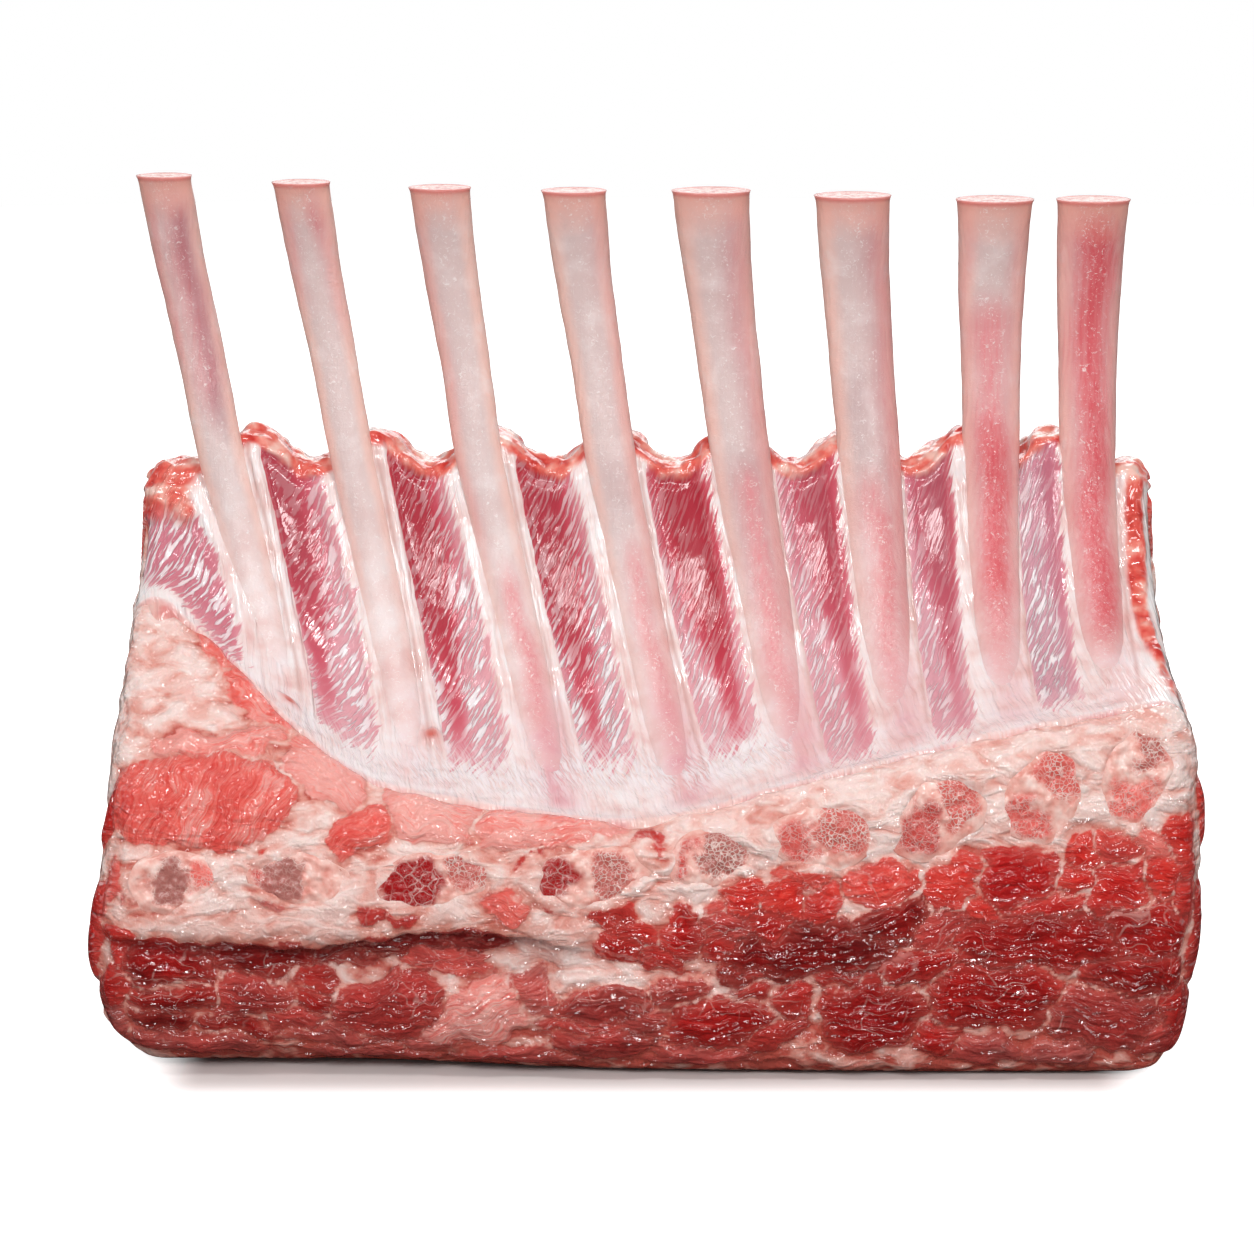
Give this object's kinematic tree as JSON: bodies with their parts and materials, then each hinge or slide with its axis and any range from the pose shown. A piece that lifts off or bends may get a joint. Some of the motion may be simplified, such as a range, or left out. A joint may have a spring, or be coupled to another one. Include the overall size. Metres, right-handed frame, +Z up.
{
  "type": "raw rack of mutton",
  "caption": "Raw frenched rack of mutton: a loin with its rib wall and fat cap, scraped rib bones standing up and sawn chine bones along the front.",
  "frame": {"origin": "centre of the object's box in plan, at the underside it rests on", "axes": "+X along the spine to the right as seen from the sawn chine side, +Y from the chine side to the fat-covered back, +Z up along the ribs"},
  "size_m": [0.2438, 0.0953, 0.1917],
  "materials": {
    "flesh": "raw cut meat, moist, with fat seams",
    "fat": "firm pale pink fat, slightly moist",
    "rib_bone": "scraped bone, smooth, faintly pink",
    "chine_bone": "sawn spongy bone, red and cream"
  },
  "bodies": {
    "root": {"meat": "flesh", "fat_cap": "fat", "rib_1": "rib_bone", "rib_2": "rib_bone", "rib_3": "rib_bone", "rib_4": "rib_bone", "rib_5": "rib_bone", "rib_6": "rib_bone", "rib_7": "rib_bone", "rib_8": "rib_bone", "chine_1": "chine_bone", "chine_2": "chine_bone", "chine_3": "chine_bone", "chine_4": "chine_bone", "chine_5": "chine_bone", "chine_6": "chine_bone", "chine_7": "chine_bone", "chine_8": "chine_bone", "chine_9": "chine_bone"}
  },
  "joints": []
}
